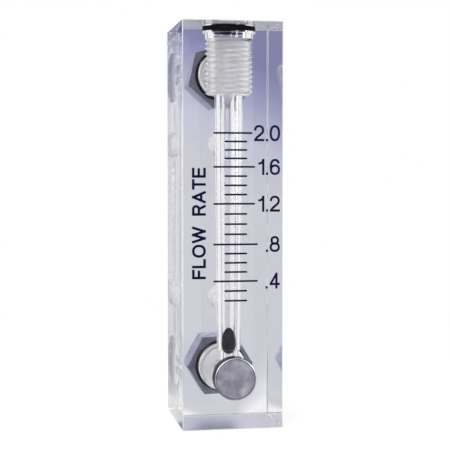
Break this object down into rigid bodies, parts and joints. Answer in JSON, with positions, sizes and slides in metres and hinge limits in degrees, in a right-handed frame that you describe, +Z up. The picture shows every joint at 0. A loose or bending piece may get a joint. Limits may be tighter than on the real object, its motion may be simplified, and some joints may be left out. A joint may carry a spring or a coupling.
{
  "type": "rotameter",
  "caption": "Clear acrylic block flow meter with a tapered bore, a black egg-shaped float, a printed scale and hexagonal pipe adapters behind.",
  "frame": {"origin": "middle of the block's base", "axes": "+Z up along the metering bore, +Y to the rear where the ports are, -Y towards the scale"},
  "size_m": [0.0254, 0.0413, 0.1016],
  "materials": {
    "clear_acrylic": "clear polished acrylic",
    "clear_plug": "clear turned acrylic",
    "seal_rubber": "smooth black rubber",
    "fitting_steel": "turned and milled steel",
    "plug_steel": "fine turned steel",
    "float_black": "polished black",
    "scale_ink": "navy printing ink"
  },
  "bodies": {
    "meter": {"meter_block": "clear_acrylic", "top_plug": "clear_plug", "top_plug_o_ring": "seal_rubber", "inlet_adapter": "fitting_steel", "outlet_adapter": "fitting_steel", "inlet_o_ring": "seal_rubber", "outlet_o_ring": "seal_rubber", "front_plug": "plug_steel", "front_plug_o_ring": "seal_rubber", "scale_lines": "scale_ink"},
    "float": {"metering_float": "float_black"}
  },
  "joints": [
    {"name": "float_lift", "type": "slide", "parent": "meter", "child": "float", "axis": [0, 0, 1], "range_m": [0, 0.055]}
  ]
}
